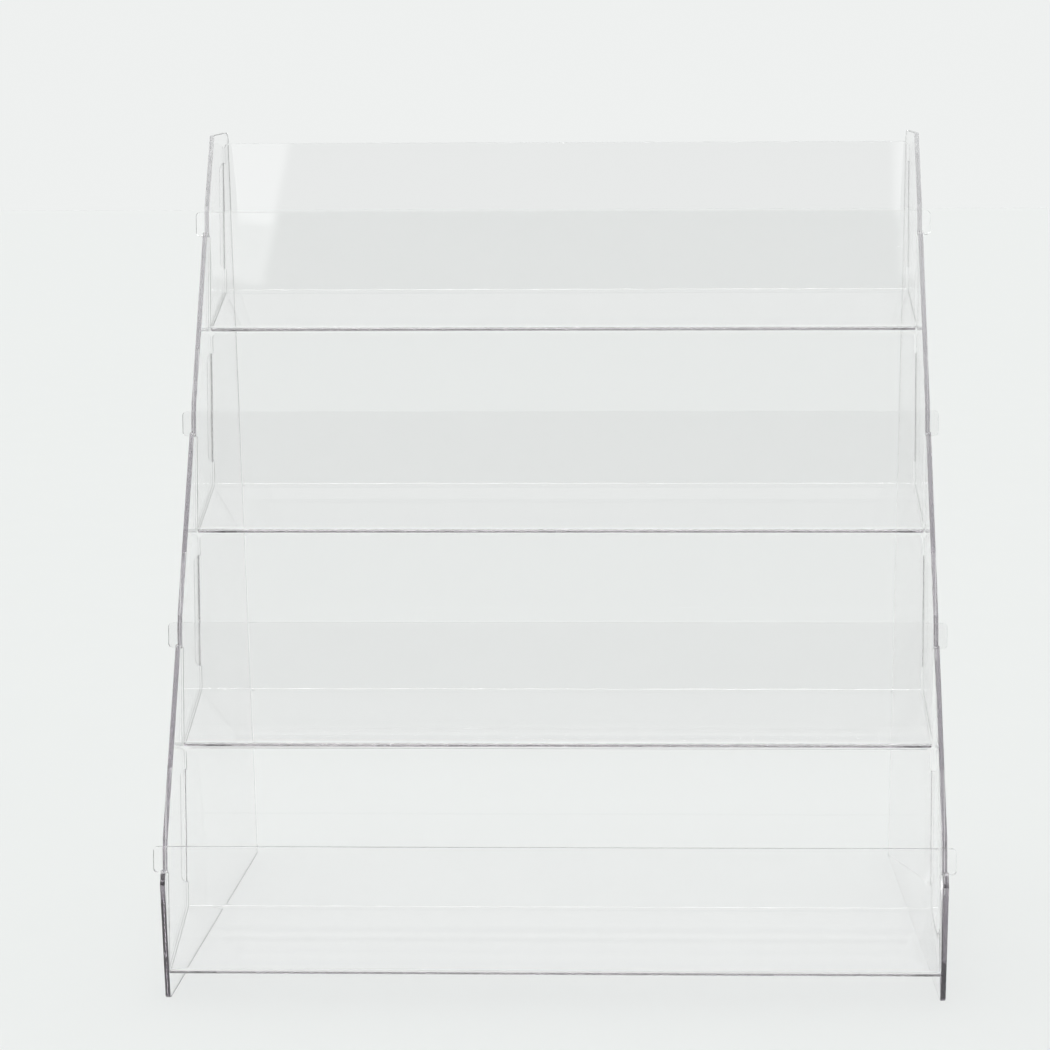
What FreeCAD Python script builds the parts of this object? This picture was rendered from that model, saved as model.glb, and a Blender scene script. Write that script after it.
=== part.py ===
"""Four-tier leaflet rack in clear acrylic.

Two flat side panels carry four identical folded trays.  Each tray is one sheet with a short
front lip, a floor that falls towards the front and a tall back.  Two tabs on its back pass
through closed slots in the side panels, and two ears on its lip drop into open notches, so
the rack goes together without screws or glue.

Axes: +X to the right of somebody facing the rack, +Y to the rear, +Z up.
Origin: on the table, in the middle of the footprint.  Lengths in mm, angles in degrees.
"""
import FreeCAD, Part
import os

import Sketcher

# name, value, meaning.  Tray lengths run along the outside of the folded sheet, between the
# sharp corners its faces would have without the bend radius.
DRIVING = [
    ("inner_width", 610.0, "clear width between the side panels"),
    ("side_thickness", 4.0, "sheet used for the side panels"),
    ("tray_thickness", 3.0, "sheet used for the trays"),
    ("side_gap", 0.8, "gap between a tray edge and a side panel"),
    ("fit_gap", 0.2, "gap on each face of a tab or an ear"),
    ("tier_run", 75.0, "each tray stands this far behind the one below"),
    ("tier_rise", 163.6, "each tray stands this far above the one below"),
    ("fold_y", -164.8, "front fold of the bottom tray, from the middle"),
    ("fold_z", 17.1, "front fold of the bottom tray, above the table"),
    ("lip_length", 106.9, "front lip of a tray"),
    ("lip_lean", 8.3, "lip leans to the rear, from upright"),
    ("floor_length", 77.3, "floor of a tray"),
    ("floor_slope", 25.8, "floor rises to the rear, from level"),
    ("back_length", 132.7, "back of a tray"),
    ("back_lean", 6.6, "back leans to the rear, from upright"),
    ("bend_radius", 2.5, "inside radius of both folds"),
    ("back_corner_radius", 4.0, "top corners of the back"),
    ("tab_start", 21.5, "lower edge of a tab, up the back from the rear fold"),
    ("tab_length", 93.3, "tab, measured up the back"),
    ("tab_reach", 3.5, "tab stands out beyond the side panel"),
    ("tab_radius", 5.0, "outer corners of a tab"),
    ("ear_length", 20.6, "ear, measured down from the top of the lip"),
    ("ear_reach", 6.9, "ear stands out beyond the side panel"),
    ("ear_radius", 3.5, "outer corners of an ear"),
    ("hook_width", 4.2, "finger in front of a notch"),
    ("hook_height", 2.8, "finger above the notch floor"),
    ("hook_radius", 1.6, "rounding of the finger tip"),
    ("notch_wall", 26.5, "rear wall of a notch"),
    ("side_front", -160.0, "upright front edge of the side panels"),
    ("side_knee", 95.0, "top of that upright edge"),
    ("side_rear", 163.4, "rear edge of the side panels"),
    ("side_top_front", 109.0, "front end of the top edge"),
    ("front_height", 679.5, "side panel at the front end of its top edge"),
    ("rear_height", 684.0, "side panel at its rear edge"),
    ("foot_radius", 3.5, "front bottom corner of the side panels"),
    ("side_corner_radius", 6.0, "top rear corner of the side panels"),
]

# Tray names from the bottom of the rack to the top.
TRAY_NAMES = [
    "leaflet_tray_bottom",
    "leaflet_tray_lower",
    "leaflet_tray_upper",
    "leaflet_tray_top",
]

# Angles inside the two folds, as expressions.
FRONT_FOLD = "(90 - <<dims>>.lip_lean - <<dims>>.floor_slope)"
REAR_FOLD = "(90 + <<dims>>.back_lean + <<dims>>.floor_slope)"


def make_sheet(doc):
    """Write the driving dimensions into a spreadsheet, one named cell each."""
    sheet = doc.addObject("Spreadsheet::Sheet", "dims")
    sheet.Label = "dims"
    for row, (name, value, meaning) in enumerate(DRIVING, start=1):
        sheet.set(f"A{row}", name)
        sheet.set(f"B{row}", str(value))
        sheet.set(f"C{row}", meaning)
        sheet.setAlias(f"B{row}", name)
    doc.recompute()
    return sheet


def dim(name):
    """Return the expression that reads one driving dimension."""
    return f"<<dims>>.{name}"


def polar_point(start, angle, along, off):
    """Go along a line that leans back from upright, then square off it to the rear."""
    y, z = start
    return (
        f"{y} + ({along}) * sin({angle}) + ({off}) * cos({angle})",
        f"{z} + ({along}) * cos({angle}) - ({off}) * sin({angle})",
    )


def lip_point(start, along, off):
    """Point on the lip: along its front face from the fold, then off it to the rear."""
    return polar_point(start, dim("lip_lean"), along, off)


def back_point(start, along, off):
    """Point on the back: along its rear face from the rear fold, then off it."""
    rear_fold = (
        f"{start[0]} + {dim('floor_length')} * cos({dim('floor_slope')})",
        f"{start[1]} + {dim('floor_length')} * sin({dim('floor_slope')})",
    )
    return polar_point(rear_fold, dim("back_lean"), along, off)


def tier_start(tier):
    """Front fold of one tier, 0 being the lowest."""
    return (
        f"{dim('fold_y')} + {tier} * {dim('tier_run')}",
        f"{dim('fold_z')} + {tier} * {dim('tier_rise')}",
    )


def upright_plane(body):
    """Return the body's own YZ plane."""
    for feature in body.Origin.OriginFeatures:
        if feature.Role == "YZ_Plane":
            return feature
    raise RuntimeError("body has no YZ plane")


def draw_loop(sketch, points):
    """Add a closed outline whose corners follow pairs of expressions."""
    first = sketch.GeometryCount
    count = len(points)
    for index in range(count):
        start = FreeCAD.Vector(index, index * index, 0)
        end = FreeCAD.Vector(index + 1, (index + 1) ** 2, 0)
        sketch.addGeometry(Part.LineSegment(start, end), False)
    for index in range(count):
        line = first + index
        following = first + (index + 1) % count
        sketch.addConstraint(Sketcher.Constraint("Coincident", line, 2, following, 1))
    for index, (y, z) in enumerate(points):
        line = first + index
        across = sketch.addConstraint(Sketcher.Constraint("DistanceX", -1, 1, line, 1, index))
        sketch.setExpression(f"Constraints[{across}]", y)
        up = sketch.addConstraint(Sketcher.Constraint("DistanceY", -1, 1, line, 1, index))
        sketch.setExpression(f"Constraints[{up}]", z)


def add_sketch(body, name, loops):
    """Add a sketch on the body's YZ plane, made of closed outlines."""
    sketch = body.newObject("Sketcher::SketchObject", name)
    sketch.AttachmentSupport = [(upright_plane(body), "")]
    sketch.MapMode = "FlatFace"
    for points in loops:
        draw_loop(sketch, points)
    return sketch


def add_pad(body, name, points, length, side="Symmetric"):
    """Pad one outline across the rack by a length given as an expression."""
    pad = body.newObject("PartDesign::Pad", name)
    pad.Profile = add_sketch(body, f"{name}_outline", [points])
    pad.SideType = side
    pad.setExpression("Length", length)
    return pad


def add_fillet(body, name, wanted, radius):
    """Round every edge of the body's last feature that the test picks."""
    base = body.Tip
    picked = []
    for index, edge in enumerate(base.Shape.Edges, start=1):
        if wanted(edge):
            picked.append(f"Edge{index}")
    if not picked:
        raise RuntimeError(f"{name}: no edge to round")
    fillet = body.newObject("PartDesign::Fillet", name)
    fillet.Base = (base, picked)
    fillet.setExpression("Radius", radius)
    body.Document.recompute()
    return fillet


def middle(edge):
    """Middle of a straight edge."""
    return (edge.Vertexes[0].Point + edge.Vertexes[-1].Point) * 0.5


def crosses(edge, points, tolerance=0.01):
    """True for an edge that runs across the rack through one of the (y, z) points."""
    if len(edge.Vertexes) < 2:
        return False
    ends = [vertex.Point for vertex in edge.Vertexes]
    if abs(ends[0].x - ends[1].x) < tolerance:
        return False
    spot = middle(edge)
    return any(abs(spot.y - y) + abs(spot.z - z) < tolerance for y, z in points)


def cut_corner(edge, half_width, low, high, thickness):
    """True for an edge through the sheet, at +-half_width and between two heights."""
    if abs(edge.Length - thickness) > 0.01:
        return False
    spot = middle(edge)
    return abs(abs(spot.x) - half_width) < 0.01 and low < spot.z < high


def tray_outline():
    """Outline of the folded sheet seen from the side, its front fold at the origin."""
    fold = ("0", "0")
    thick = dim("tray_thickness")
    lip_top = dim("lip_length")
    back_top = dim("back_length")
    front_mitre = f"{thick} / tan({FRONT_FOLD} / 2)"
    rear_mitre = f"{thick} / tan({REAR_FOLD} / 2)"
    return [
        lip_point(fold, lip_top, "0"),
        fold,
        back_point(fold, "0", "0"),
        back_point(fold, back_top, "0"),
        back_point(fold, back_top, f"-{thick}"),
        back_point(fold, rear_mitre, f"-{thick}"),
        lip_point(fold, front_mitre, thick),
        lip_point(fold, lip_top, thick),
    ]


def tab_outline():
    """Strip of the back that is wide enough to make both tabs."""
    fold = ("0", "0")
    low = dim("tab_start")
    high = f"{low} + {dim('tab_length')}"
    front = f"-{dim('tray_thickness')}"
    return [
        back_point(fold, low, "0"),
        back_point(fold, high, "0"),
        back_point(fold, high, front),
        back_point(fold, low, front),
    ]


def ear_outline():
    """Strip of the lip that is wide enough to make both ears."""
    fold = ("0", "0")
    high = dim("lip_length")
    low = f"{high} - {dim('ear_length')}"
    rear = dim("tray_thickness")
    return [
        lip_point(fold, high, "0"),
        lip_point(fold, low, "0"),
        lip_point(fold, low, rear),
        lip_point(fold, high, rear),
    ]


def width_over(reach):
    """Width across two tabs or two ears that stand out beyond the side panels."""
    return f"{dim('inner_width')} + 2 * {dim('side_thickness')} + 2 * {dim(reach)}"


def make_tray(doc, sheet, name, tier):
    """Fold one tray, add its tabs and ears, round its corners and put it on its tier."""
    body = doc.addObject("PartDesign::Body", name)
    body.Label = name
    thick = sheet.tray_thickness

    width = f"{dim('inner_width')} - 2 * {dim('side_gap')}"
    folded = add_pad(body, "folded_sheet", tray_outline(), width)
    doc.recompute()
    corners = [line.StartPoint for line in folded.Profile[0].Geometry]
    outside = [(corners[1].x, corners[1].y), (corners[2].x, corners[2].y)]
    inside = [(corners[5].x, corners[5].y), (corners[6].x, corners[6].y)]
    add_fillet(body, "inside_folds", lambda edge: crosses(edge, inside), dim("bend_radius"))
    outer_radius = f"{dim('bend_radius')} + {dim('tray_thickness')}"
    add_fillet(body, "outside_folds", lambda edge: crosses(edge, outside), outer_radius)

    add_pad(body, "tabs", tab_outline(), width_over("tab_reach"))
    add_pad(body, "ears", ear_outline(), width_over("ear_reach"))
    doc.recompute()

    half_inner = sheet.inner_width / 2
    half_tabs = half_inner + sheet.side_thickness + sheet.tab_reach
    half_ears = half_inner + sheet.side_thickness + sheet.ear_reach
    half_back = half_inner - sheet.side_gap
    top = body.Shape.BoundBox.ZMax
    add_fillet(body, "tab_corners",
               lambda edge: cut_corner(edge, half_tabs, 0, top, thick), dim("tab_radius"))
    add_fillet(body, "ear_corners",
               lambda edge: cut_corner(edge, half_ears, 0, top, thick), dim("ear_radius"))
    add_fillet(body, "back_corners",
               lambda edge: cut_corner(edge, half_back, top - 2 * thick, top + 1, thick),
               dim("back_corner_radius"))

    y, z = tier_start(tier)
    body.setExpression(".Placement.Base.y", y)
    body.setExpression(".Placement.Base.z", z)
    return body


def notch_points(tier):
    """Corners of one tier's hook and notch, from the hook's foot up to the notch's top."""
    start = tier_start(tier)
    floor = f"{dim('lip_length')} - {dim('ear_length')}"
    hook_top = f"{floor} + {dim('hook_height')}"
    hook_rear = f"-{dim('fit_gap')}"
    hook_front = f"-{dim('fit_gap')} - {dim('hook_width')}"
    wall = f"{dim('tray_thickness')} + {dim('fit_gap')}"
    return [
        lip_point(start, floor, hook_front),
        lip_point(start, hook_top, hook_front),
        lip_point(start, hook_top, hook_rear),
        lip_point(start, floor, hook_rear),
        lip_point(start, floor, wall),
        lip_point(start, f"{floor} + {dim('notch_wall')}", wall),
    ]


def side_outline():
    """Outline of a side panel: flat foot, stepped front edge, top edge and upright rear."""
    points = [(dim("side_front"), "0"), (dim("side_front"), dim("side_knee"))]
    for tier in range(len(TRAY_NAMES)):
        points += notch_points(tier)
    points += [
        (dim("side_top_front"), dim("front_height")),
        (dim("side_rear"), dim("rear_height")),
        (dim("side_rear"), "0"),
    ]
    return points


def slot_outline(tier):
    """Closed slot for one tray's tab.  The tab stands on the slot's lower end."""
    start = tier_start(tier)
    low = dim("tab_start")
    high = f"{low} + {dim('tab_length')} + 2 * {dim('fit_gap')}"
    rear = dim("fit_gap")
    front = f"-{dim('tray_thickness')} - {dim('fit_gap')}"
    return [
        back_point(start, low, rear),
        back_point(start, high, rear),
        back_point(start, high, front),
        back_point(start, low, front),
    ]


def make_side(doc, sheet, name, hand):
    """Cut one side panel; hand is -1 for the left one and +1 for the right one."""
    body = doc.addObject("PartDesign::Body", name)
    body.Label = name
    panel = add_pad(body, "panel", side_outline(), dim("side_thickness"), "One side")
    panel.Reversed = hand < 0
    doc.recompute()

    slots = body.newObject("PartDesign::Pocket", "tab_slots")
    loops = [slot_outline(tier) for tier in range(len(TRAY_NAMES))]
    slots.Profile = add_sketch(body, "tab_slots_outline", loops)
    slots.Type = "ThroughAll"
    slots.SideType = "Symmetric"
    doc.recompute()
    if slots.Shape.Volume >= panel.Shape.Volume:
        raise RuntimeError(f"{name}: the slots cut nothing")

    corners = [line.StartPoint for line in panel.Profile[0].Geometry]
    spots = [(corner.x, corner.y) for corner in corners]
    tips = []
    for tier in range(len(TRAY_NAMES)):
        hook = 2 + 6 * tier
        tips += spots[hook + 1:hook + 3]
    add_fillet(body, "hook_tips", lambda edge: crosses(edge, tips), dim("hook_radius"))
    foot = spots[:1]
    add_fillet(body, "foot_corner", lambda edge: crosses(edge, foot), dim("foot_radius"))
    rear = spots[-2:-1]
    add_fillet(body, "rear_corner", lambda edge: crosses(edge, rear),
               dim("side_corner_radius"))

    body.setExpression(".Placement.Base.x", f"{hand} * {dim('inner_width')} / 2")
    return body


def check(doc, bodies):
    """Stop if any feature failed or any sub-part is not one sound solid."""
    for feature in doc.Objects:
        if "Invalid" in feature.State or "Error" in feature.State:
            raise RuntimeError(f"{feature.Name}: {feature.State}")
    for body in bodies:
        shape = body.Shape
        if shape.isNull() or not shape.isValid() or len(shape.Solids) != 1:
            raise RuntimeError(f"{body.Label}: not one valid solid")


def main():
    """Build every sub-part and write each one to its own file."""
    doc = FreeCAD.newDocument("leaflet_rack")
    sheet = make_sheet(doc)
    bodies = [
        make_side(doc, sheet, "side_panel_left", -1),
        make_side(doc, sheet, "side_panel_right", 1),
    ]
    for tier, name in enumerate(TRAY_NAMES):
        bodies.append(make_tray(doc, sheet, name, tier))
    doc.recompute()
    check(doc, bodies)

    os.makedirs("parts", exist_ok=True)
    for body in bodies:
        body.Shape.exportStep(f"parts/{body.Label}.step")
        box = body.Shape.BoundBox
        print(f"{body.Label}: x {box.XMin:.2f} {box.XMax:.2f}  y {box.YMin:.2f} {box.YMax:.2f}"
              f"  z {box.ZMin:.2f} {box.ZMax:.2f}  volume {body.Shape.Volume:.0f}")


main()
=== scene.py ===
"""Clear acrylic leaflet rack on a pale studio floor, seen as in the product photograph."""
import math

import bmesh
import bpy
from mathutils import Matrix, Vector


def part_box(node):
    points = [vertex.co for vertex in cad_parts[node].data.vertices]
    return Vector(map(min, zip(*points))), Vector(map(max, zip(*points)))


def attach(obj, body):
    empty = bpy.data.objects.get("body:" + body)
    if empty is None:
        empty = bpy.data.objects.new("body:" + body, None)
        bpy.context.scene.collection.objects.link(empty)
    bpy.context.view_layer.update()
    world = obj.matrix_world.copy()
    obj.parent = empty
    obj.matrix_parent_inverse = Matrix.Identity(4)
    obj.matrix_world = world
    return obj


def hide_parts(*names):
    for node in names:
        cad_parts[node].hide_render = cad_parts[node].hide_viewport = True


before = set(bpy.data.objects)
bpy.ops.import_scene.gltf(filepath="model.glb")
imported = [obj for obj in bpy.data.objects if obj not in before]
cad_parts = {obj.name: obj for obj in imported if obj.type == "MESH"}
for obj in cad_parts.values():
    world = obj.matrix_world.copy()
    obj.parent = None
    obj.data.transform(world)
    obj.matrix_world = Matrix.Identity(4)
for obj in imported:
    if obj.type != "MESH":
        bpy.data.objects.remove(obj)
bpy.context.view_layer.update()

# The photograph's camera, in metres, millimetres for the lens, and degrees.
CAMERA_POSITION = Vector((0.0771, -1.4927, 0.6261))
CAMERA_PITCH = 10.35
CAMERA_YAW = -1.02
CAMERA_ROLL = -0.18
CAMERA_LENS = 61.7
CAMERA_SENSOR = 36.0
CAMERA_SHIFT = -0.0905
CAMERA_REACH = 300.0

# The rack's pieces, as model.glb names them.
SIDES = ("side_panel_left", "side_panel_right")
TRAYS = ("leaflet_tray_bottom", "leaflet_tray_lower", "leaflet_tray_upper", "leaflet_tray_top")

# The folded trays, in metres and degrees, as the CAD has them.
INNER_WIDTH = 0.610
SIDE_THICKNESS = 0.004
TRAY_THICKNESS = 0.003
SIDE_GAP = 0.0008
LIP_LENGTH = 0.1069
LIP_LEAN = 8.3
FLOOR_LENGTH = 0.0773
FLOOR_SLOPE = 25.8
BACK_LENGTH = 0.1327
BACK_LEAN = 6.6
BEND_RADIUS = 0.0055
TAB_START = 0.0215
TAB_LENGTH = 0.0933
TAB_REACH = 0.0035
TAB_RADIUS = 0.005
EAR_LENGTH = 0.0206
EAR_REACH = 0.0069
EAR_RADIUS = 0.0035
BACK_CORNER_RADIUS = 0.004

# How finely the meshes are made: rounding in metres, angles in degrees.
EDGE_ROUND = 0.0004
EDGE_SEGMENTS = 2
FOLD_STEPS = 24
CORNER_STEPS = 8
LOWEST_POINT_STEPS = 400
SAME_POINT = 0.00001
CUT_TOLERANCE = 1e-7
SAME_PLANE_ANGLE = 0.5
CREASE_ANGLE = 20.0
# A face looks along an axis when more than this part of its normal lies along it.
FACING = 0.5

# Clear acrylic. Its tint and density say how light fades along the inside of a sheet.
ACRYLIC_IOR = 1.49
ACRYLIC_TINT = (0.26, 0.20, 0.27)
ACRYLIC_DENSITY = 5.0
MARK_SCALE = 60.0
MARK_DETAIL = 6.0
MARK_RANGE = (0.45, 0.85)
MARK_ROUGHNESS = 0.003
SHADOW_PASSES = 0.997

# The pale paper under the rack, and the painted shade that turns it grey between
# two depths in front of the rack, in metres, where the light of the set falls off.
PAPER_SHADES = ((0.800, 0.815, 0.808), (0.810, 0.825, 0.818))
PAPER_GRAIN = 9.0
PAPER_ROUGHNESS = 0.9
PAPER_HALF_WIDTH = 90.0
PAPER_DROP = 0.0003
PAINTED_SHADE_DEPTHS = (-1.2, -4.5)
FLOOR_PAINTED_SHADE = (0.42, 0.425, 0.42)

# The room: pale behind the rack, light overhead, and dark elsewhere. Each part gives way to
# the next between two heights (or two depths) of a direction of length one.
BACKDROP = (0.86, 0.875, 0.868)
DARK_ROOM = (0.25, 0.255, 0.25)
CEILING = (1.05, 1.06, 1.055)
BACKDROP_TOP = (0.22, 0.34)
CEILING_START = (0.68, 0.80)
ROOM_START = (0.10, -0.60)

# Lamps that show only as reflections. Each one: name, centre, width, height, lean in degrees,
# brightness on the side nearer to the middle of the room and on the other side, and whether
# it also shows through a sheet. Only the round folds of the trays reflect the bright wall.
LAMPS = (
    ("bright_wall", (0.0, -6.0, 3.35), 9.0, 1.1, 0.0, (12.0, 12.0), True),
    ("box_left", (-1.208, -2.2, 1.618), 1.10, 0.865, 10.8, (2.2, 2.8), False),
    ("box_right", (0.945, -2.2, 1.585), 0.70, 0.95, 0.0, (2.1, 2.1), False),
)
LAMP_SOFT_EDGE = 0.03
ROOM_LIGHT = 1.69
ROOM_LIGHT_SPREAD = 60.0
ROOM_LIGHT_TILT = (-12.0, -10.0)

# Light has to pass through many sheets before it reaches the backdrop.
SHEET_BOUNCES = 64
CLEAR_BOUNCES = 32


def new_material(name):
    """Return a node material and its tree, with nothing in it but the output."""
    material = bpy.data.materials.new(name)
    material.use_nodes = True
    tree = material.node_tree
    tree.nodes.clear()
    output = tree.nodes.new("ShaderNodeOutputMaterial")
    return material, tree, output


def add_noise(tree, position, scale, detail=3.0):
    """Add a noise texture driven by a position socket."""
    noise = tree.nodes.new("ShaderNodeTexNoise")
    noise.inputs["Scale"].default_value = scale
    noise.inputs["Detail"].default_value = detail
    tree.links.new(position, noise.inputs["Vector"])
    return noise.outputs["Fac"]


def add_range(tree, value, low, high, first=0.0, last=1.0, ends="SMOOTHSTEP"):
    """Map a socket's range onto another one."""
    node = tree.nodes.new("ShaderNodeMapRange")
    node.interpolation_type = ends
    node.inputs["From Min"].default_value = low
    node.inputs["From Max"].default_value = high
    node.inputs["To Min"].default_value = first
    node.inputs["To Max"].default_value = last
    tree.links.new(value, node.inputs["Value"])
    return node.outputs["Result"]


def add_math(tree, operation, *values):
    """Add a maths node that works on one or two sockets."""
    node = tree.nodes.new("ShaderNodeMath")
    node.operation = operation
    for index, value in enumerate(values):
        tree.links.new(value, node.inputs[index])
    return node.outputs["Value"]


def blend(tree, factor, first, second):
    """Mix two colours, each a plain colour or a socket."""
    node = tree.nodes.new("ShaderNodeMix")
    node.data_type = "RGBA"
    tree.links.new(factor, node.inputs["Factor"])
    for name, colour in (("A", first), ("B", second)):
        if isinstance(colour, tuple):
            node.inputs[name].default_value = (*colour, 1.0)
        else:
            tree.links.new(colour, node.inputs[name])
    return node.outputs["Result"]


def mix_shaders(tree, factor, first, second, output):
    """Mix two shaders and show the result."""
    mix = tree.nodes.new("ShaderNodeMixShader")
    tree.links.new(factor, mix.inputs["Fac"])
    tree.links.new(first.outputs[0], mix.inputs[1])
    tree.links.new(second.outputs[0], mix.inputs[2])
    tree.links.new(mix.outputs["Shader"], output.inputs["Surface"])


def clear_acrylic(name):
    """Cast acrylic: clear through its faces and darker along the sheet."""
    material, tree, output = new_material(name)
    place = tree.nodes.new("ShaderNodeTexCoord").outputs["Object"]

    # Fine handling marks show as a little roughness here and there.
    marks = add_noise(tree, place, MARK_SCALE, MARK_DETAIL)
    roughness = add_range(tree, marks, *MARK_RANGE, 0.0, MARK_ROUGHNESS, ends="LINEAR")
    acrylic = tree.nodes.new("ShaderNodeBsdfPrincipled")
    acrylic.inputs["Base Color"].default_value = (1.0, 1.0, 1.0, 1.0)
    acrylic.inputs["Transmission Weight"].default_value = 1.0
    acrylic.inputs["IOR"].default_value = ACRYLIC_IOR
    tree.links.new(roughness, acrylic.inputs["Roughness"])

    # Lamps shine through the sheet and leave only a faint shadow.
    passing = tree.nodes.new("ShaderNodeBsdfTransparent")
    passing.inputs["Color"].default_value = (SHADOW_PASSES, SHADOW_PASSES, SHADOW_PASSES, 1.0)
    path = tree.nodes.new("ShaderNodeLightPath")
    lit = add_math(tree, "MAXIMUM", path.outputs["Is Shadow Ray"], path.outputs["Is Diffuse Ray"])
    mix_shaders(tree, lit, acrylic, passing, output)

    depth = tree.nodes.new("ShaderNodeVolumeAbsorption")
    depth.inputs["Color"].default_value = (*ACRYLIC_TINT, 1.0)
    depth.inputs["Density"].default_value = ACRYLIC_DENSITY
    tree.links.new(depth.outputs["Volume"], output.inputs["Volume"])
    return material


class FoldedSheet:
    """Maps a flat blank, measured down from the top of the lip, onto the folded tray."""

    def __init__(self):
        front = 180 - (90 - LIP_LEAN - FLOOR_SLOPE)
        rear = 180 - (90 + BACK_LEAN + FLOOR_SLOPE)
        front_cut = BEND_RADIUS * math.tan(math.radians(front / 2))
        rear_cut = BEND_RADIUS * math.tan(math.radians(rear / 2))
        # Each stretch: its length, and the angle that it turns through.
        self.stretches = [
            (LIP_LENGTH - front_cut, 0.0),
            (BEND_RADIUS * math.radians(front), math.radians(front)),
            (FLOOR_LENGTH - front_cut - rear_cut, 0.0),
            (BEND_RADIUS * math.radians(rear), math.radians(rear)),
            (BACK_LENGTH - rear_cut, 0.0),
        ]
        self.back_start = sum(length for length, _ in self.stretches[:4]) - rear_cut
        self.length = sum(length for length, _ in self.stretches)

    def place(self, along, depth):
        """Return (y, z) of a point of the blank, from the sharp corner of the front fold."""
        lean = math.radians(LIP_LEAN)
        y = LIP_LENGTH * math.sin(lean)
        z = LIP_LENGTH * math.cos(lean)
        heading = math.radians(-90) - lean
        last = len(self.stretches) - 1
        for index, (length, turn) in enumerate(self.stretches):
            part = along if index == last else min(max(along, 0.0), length)
            if turn:
                angle = turn * part / length
                y += BEND_RADIUS * (math.sin(heading + angle) - math.sin(heading))
                z -= BEND_RADIUS * (math.cos(heading + angle) - math.cos(heading))
                heading += angle
            else:
                y += part * math.cos(heading)
                z += part * math.sin(heading)
            along -= part
            if along <= 0:
                break
        return y - depth * math.sin(heading), z + depth * math.cos(heading)

    def cuts(self):
        """Places across the blank where its mesh needs an edge so that the folds are round."""
        found = []
        start = 0.0
        for length, turn in self.stretches:
            if turn:
                found += [start - EDGE_ROUND, start + length + EDGE_ROUND]
                found += [start + length * step / FOLD_STEPS for step in range(FOLD_STEPS + 1)]
            start += length
        return found

    def front_fold(self, low):
        """Where the front fold's sharp corner goes, from the lowest corner of the tray's box."""
        lip, fold = self.stretches[0][0], self.stretches[1][0]
        steps = range(LOWEST_POINT_STEPS + 1)
        spots = [self.place(lip + fold * step / LOWEST_POINT_STEPS, 0) for step in steps]
        return low[1] - min(y for y, _ in spots), low[2] - min(z for _, z in spots)


def rounded(corners):
    """Turn (x, y, radius) corners into an outline whose corners are arcs."""
    outline = []
    count = len(corners)
    for index, (x, y, radius) in enumerate(corners):
        here = Vector((x, y))
        if not radius:
            outline.append(here)
            continue
        before = (Vector(corners[index - 1][:2]) - here).normalized()
        after = (Vector(corners[(index + 1) % count][:2]) - here).normalized()
        half = before.angle(after) / 2
        centre = here + (before + after).normalized() * radius / math.sin(half)
        start = here + before * radius / math.tan(half) - centre
        end = here + after * radius / math.tan(half) - centre
        sweep = start.angle_signed(end)
        for step in range(CORNER_STEPS + 1):
            turn = Matrix.Rotation(-sweep * step / CORNER_STEPS, 2)
            outline.append(centre + turn @ start)
    return outline


def blank_outline(sheet):
    """Outline of a tray's flat blank: right side from the lip's top down, then the left."""
    edge = INNER_WIDTH / 2 - SIDE_GAP
    ear = INNER_WIDTH / 2 + SIDE_THICKNESS + EAR_REACH
    tab = INNER_WIDTH / 2 + SIDE_THICKNESS + TAB_REACH
    tab_low = sheet.back_start + TAB_START
    tab_high = tab_low + TAB_LENGTH
    right = [
        (ear, 0.0, EAR_RADIUS),
        (ear, EAR_LENGTH, EAR_RADIUS),
        (edge, EAR_LENGTH, 0),
        (edge, tab_low, 0),
        (tab, tab_low, TAB_RADIUS),
        (tab, tab_high, TAB_RADIUS),
        (edge, tab_high, 0),
        (edge, sheet.length, BACK_CORNER_RADIUS),
    ]
    left = [(-x, along, radius) for x, along, radius in reversed(right)]
    return rounded(right + left)


def round_edges(bm, edges):
    """Take the sharpness off some edges of a sheet."""
    bmesh.ops.bevel(bm, geom=edges, offset=EDGE_ROUND, segments=EDGE_SEGMENTS, profile=0.5,
                    affect="EDGES", clamp_overlap=True)


def blank_rims(bm):
    """Edges between the two faces of a flat blank and its cut rim."""
    rims = []
    for edge in bm.edges:
        if len(edge.link_faces) == 2:
            flats = [abs(face.normal.z) > FACING for face in edge.link_faces]
            if flats[0] != flats[1]:
                rims.append(edge)
    return rims


def cut_blank(sheet):
    """Cut a tray's blank, still flat, with edges across it where it will be folded."""
    bm = bmesh.new()
    bm.faces.new([bm.verts.new((x, along, 0)) for x, along in blank_outline(sheet)])
    for cut in sheet.cuts():
        everything = bm.verts[:] + bm.edges[:] + bm.faces[:]
        bmesh.ops.bisect_plane(bm, geom=everything, dist=CUT_TOLERANCE,
                               plane_co=(0, cut, 0), plane_no=(0, 1, 0))
    grown = bmesh.ops.extrude_face_region(bm, geom=bm.faces[:], use_keep_orig=True)
    raised = [part for part in grown["geom"] if isinstance(part, bmesh.types.BMVert)]
    bmesh.ops.translate(bm, verts=raised, vec=(0, 0, TRAY_THICKNESS))
    bmesh.ops.recalc_face_normals(bm, faces=bm.faces[:])
    round_edges(bm, blank_rims(bm))
    return bm


def add_piece(bm, name):
    """Turn a finished bmesh into an object that rides the rack's one body."""
    mesh = bpy.data.meshes.new(name)
    bm.to_mesh(mesh)
    bm.free()
    piece = bpy.data.objects.new(name, mesh)
    bpy.context.collection.objects.link(piece)
    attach(piece, "root")
    return piece


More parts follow.
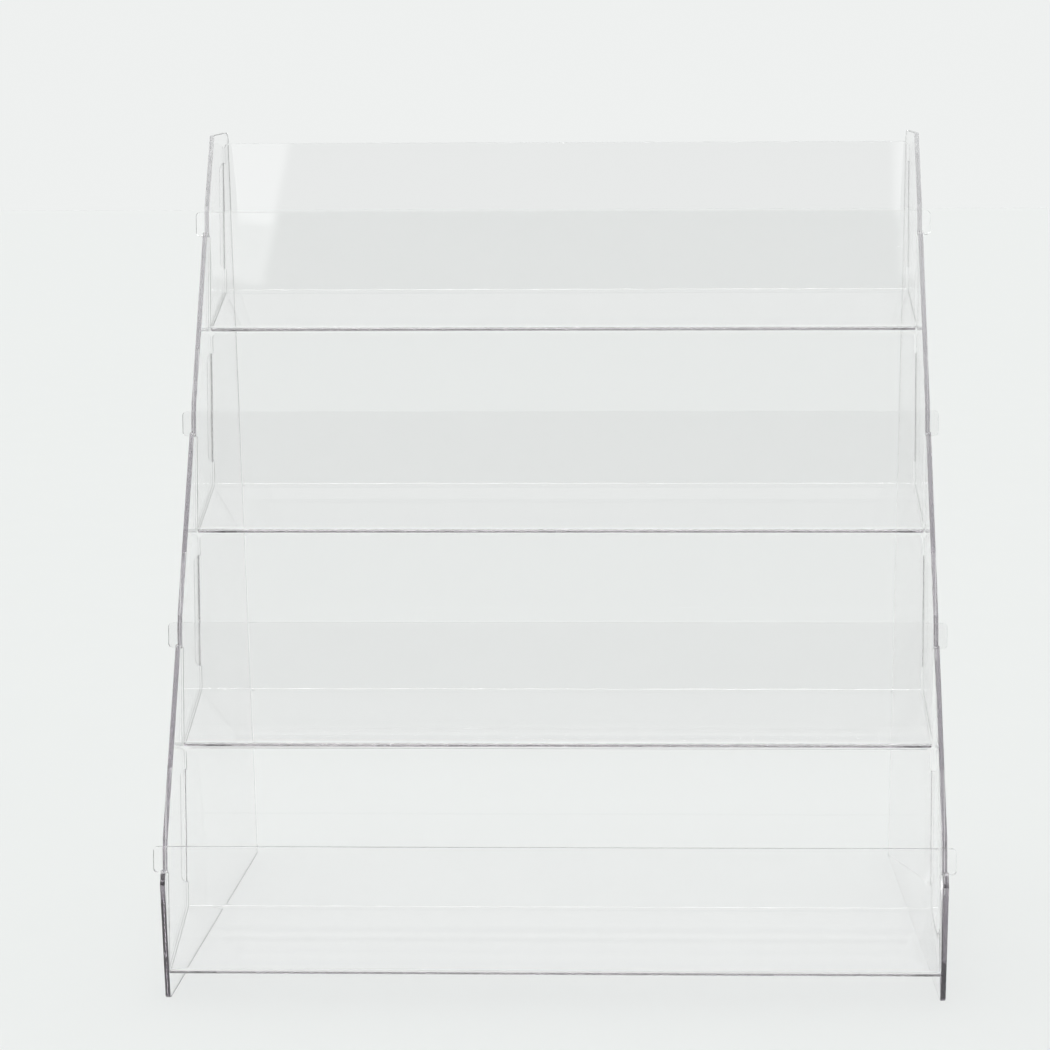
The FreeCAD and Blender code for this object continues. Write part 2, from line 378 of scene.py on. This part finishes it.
def make_tray(node):
    """Cut, round and fold one tray in place of the CAD's coarser mesh of it."""
    sheet = FoldedSheet()
    bm = cut_blank(sheet)
    low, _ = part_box(node)
    fold_y, fold_z = sheet.front_fold(low)
    for vertex in bm.verts:
        y, z = sheet.place(vertex.co.y, vertex.co.z)
        vertex.co = (vertex.co.x, fold_y + y, fold_z + z)
    bmesh.ops.recalc_face_normals(bm, faces=bm.faces[:])
    tray = add_piece(bm, node + "_folded")
    for face in tray.data.polygons:
        face.use_smooth = True
    tray.data.set_sharp_from_angle(angle=math.radians(CREASE_ANGLE))
    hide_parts(node)
    return tray


def outside_rim(bm):
    """Faces of a panel's cut edge all the way around its outside, without its slots."""
    rim = {face for face in bm.faces if abs(face.normal.x) < FACING}
    lowest = min(rim, key=lambda face: face.calc_center_median().z)
    found = {lowest}
    waiting = [lowest]
    while waiting:
        for edge in waiting.pop().edges:
            for face in edge.link_faces:
                if face in rim and face not in found:
                    found.add(face)
                    waiting.append(face)
    return found


def make_panel(node):
    """Take the sharpness off a side panel's outside edges; its slots stay as they were cut."""
    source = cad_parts[node]
    bm = bmesh.new()
    bm.from_mesh(source.data)
    bm.transform(source.matrix_world)
    bmesh.ops.remove_doubles(bm, verts=bm.verts[:], dist=SAME_POINT)
    bmesh.ops.dissolve_limit(bm, angle_limit=math.radians(SAME_PLANE_ANGLE), verts=bm.verts[:],
                             edges=bm.edges[:])
    rim = outside_rim(bm)
    round_edges(bm, [edge for edge in bm.edges
                     if sum(face in rim for face in edge.link_faces) == 1])
    panel = add_piece(bm, node + "_polished")
    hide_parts(node)
    return panel


def make_rack():
    """Polish the side panels, fold the trays and give every sheet its acrylic."""
    side = clear_acrylic("side_acrylic")
    tray = clear_acrylic("tray_acrylic")
    for name in SIDES:
        make_panel(name).data.materials.append(side)
    for name in TRAYS:
        make_tray(name).data.materials.append(tray)


def add_sheet(name, corners):
    """Add a flat sheet with four corners to the studio."""
    mesh = bpy.data.meshes.new(name)
    mesh.from_pydata(corners, [], [(0, 1, 2, 3)])
    sheet = bpy.data.objects.new(name, mesh)
    bpy.context.collection.objects.link(sheet)
    return sheet


def make_floor():
    """A matt white floor that runs out of sight, painted grey in front of the rack as shade where
    the light falls off.
    """
    half = PAPER_HALF_WIDTH
    floor = add_sheet("floor", [(-half, -half, 0), (half, -half, 0),
                                (half, half, 0), (-half, half, 0)])
    floor.location.z = -PAPER_DROP

    material, tree, output = new_material("paper_and_painted_falloff")
    place = tree.nodes.new("ShaderNodeTexCoord").outputs["Object"]
    shade = blend(tree, add_noise(tree, place, PAPER_GRAIN), *PAPER_SHADES)
    split = tree.nodes.new("ShaderNodeSeparateXYZ")
    tree.links.new(place, split.inputs["Vector"])
    # Painted shade: the floor's colour turns grey between two depths in front of the rack, where
    # the set's light falls off.
    painted_falloff = add_range(tree, split.outputs["Y"], *PAINTED_SHADE_DEPTHS)
    paper = tree.nodes.new("ShaderNodeBsdfPrincipled")
    paper.inputs["Roughness"].default_value = PAPER_ROUGHNESS
    paper.inputs["Specular IOR Level"].default_value = 0.0
    tree.links.new(blend(tree, painted_falloff, shade, FLOOR_PAINTED_SHADE), paper.inputs["Base Color"])
    tree.links.new(paper.outputs["BSDF"], output.inputs["Surface"])
    floor.data.materials.append(material)


def make_world():
    """Pale backdrop low behind the rack, light ceiling overhead, and a darker room elsewhere."""
    world = bpy.data.worlds.new("studio")
    bpy.context.scene.world = world
    world.use_nodes = True
    tree = world.node_tree
    tree.nodes.clear()
    output = tree.nodes.new("ShaderNodeOutputWorld")
    background = tree.nodes.new("ShaderNodeBackground")
    tree.links.new(background.outputs["Background"], output.inputs["Surface"])
    place = tree.nodes.new("ShaderNodeTexCoord").outputs["Generated"]
    split = tree.nodes.new("ShaderNodeSeparateXYZ")
    tree.links.new(place, split.inputs["Vector"])

    beyond = add_range(tree, split.outputs["Z"], *BACKDROP_TOP)
    sky = blend(tree, beyond, BACKDROP, DARK_ROOM)
    overhead = add_range(tree, split.outputs["Z"], *CEILING_START)
    sky = blend(tree, overhead, sky, CEILING)
    before = add_range(tree, split.outputs["Y"], *ROOM_START)
    sky = blend(tree, before, sky, DARK_ROOM)
    tree.links.new(sky, background.inputs["Color"])


def lamp_material(name, x, z, near, far):
    """Light of a lamp of half width x and half height z, from near on its -X side to far."""
    material, tree, output = new_material(name)
    place = tree.nodes.new("ShaderNodeTexCoord").outputs["Object"]
    split = tree.nodes.new("ShaderNodeSeparateXYZ")
    tree.links.new(place, split.inputs["Vector"])
    glow = tree.nodes.new("ShaderNodeEmission")
    tree.links.new(add_range(tree, split.outputs["X"], -x, x, near, far), glow.inputs["Strength"])

    # The rim fades out and lets the room show through.
    fades = []
    for axis, half in (("X", x), ("Z", z)):
        size = add_math(tree, "ABSOLUTE", split.outputs[axis])
        fades.append(add_range(tree, size, half, half - LAMP_SOFT_EDGE))
    clear = tree.nodes.new("ShaderNodeBsdfTransparent")
    mix_shaders(tree, add_math(tree, "MULTIPLY", *fades), clear, glow, output)
    return material


def make_lamp(name, centre, width, height, lean, brightness, through):
    """A standing lamp that faces the rack; brightness is (inner side, outer side)."""
    x, z = width / 2, height / 2
    lamp = add_sheet(name, [(-x, 0, -z), (-x, 0, z), (x, 0, z), (x, 0, -z)])
    lamp.location = centre
    lamp.rotation_euler.y = math.radians(lean)
    lamp.visible_camera = False
    lamp.visible_transmission = through
    lamp.visible_shadow = False
    lamp.visible_diffuse = False
    near, far = brightness if centre[0] >= 0 else reversed(brightness)
    lamp.data.materials.append(lamp_material(name, x, z, near, far))


def make_lights():
    """The lamps that the sheets reflect, and even light from above for the floor."""
    for lamp in LAMPS:
        make_lamp(*lamp)
    sun = bpy.data.lights.new("room_light", "SUN")
    sun.energy = ROOM_LIGHT
    sun.angle = math.radians(ROOM_LIGHT_SPREAD)
    holder = bpy.data.objects.new("room_light", sun)
    bpy.context.collection.objects.link(holder)
    holder.rotation_euler = [math.radians(angle) for angle in (*ROOM_LIGHT_TILT, 0.0)]
    holder.visible_camera = False
    holder.visible_glossy = False
    holder.visible_transmission = False


def make_camera():
    """The photograph's camera."""
    data = bpy.data.cameras.new("camera")
    data.lens = CAMERA_LENS
    data.sensor_width = CAMERA_SENSOR
    data.shift_x = CAMERA_SHIFT
    data.clip_end = CAMERA_REACH
    camera = bpy.data.objects.new("camera", data)
    bpy.context.collection.objects.link(camera)
    turn = Matrix.Rotation(math.radians(-CAMERA_YAW), 4, "Z")
    tip = Matrix.Rotation(math.radians(90 - CAMERA_PITCH), 4, "X")
    roll = Matrix.Rotation(math.radians(CAMERA_ROLL), 4, "Z")
    camera.matrix_world = Matrix.Translation(CAMERA_POSITION) @ turn @ tip @ roll
    bpy.context.scene.camera = camera


def set_rendering():
    """Let light pass through all the sheets, and show colours as they are."""
    cycles = bpy.context.scene.cycles
    cycles.max_bounces = SHEET_BOUNCES
    cycles.transmission_bounces = SHEET_BOUNCES
    cycles.glossy_bounces = SHEET_BOUNCES
    cycles.transparent_max_bounces = CLEAR_BOUNCES
    cycles.caustics_reflective = False
    cycles.caustics_refractive = False
    bpy.context.scene.view_settings.view_transform = "Standard"


make_camera()
make_floor()
make_world()
make_lights()
make_rack()
set_rendering()
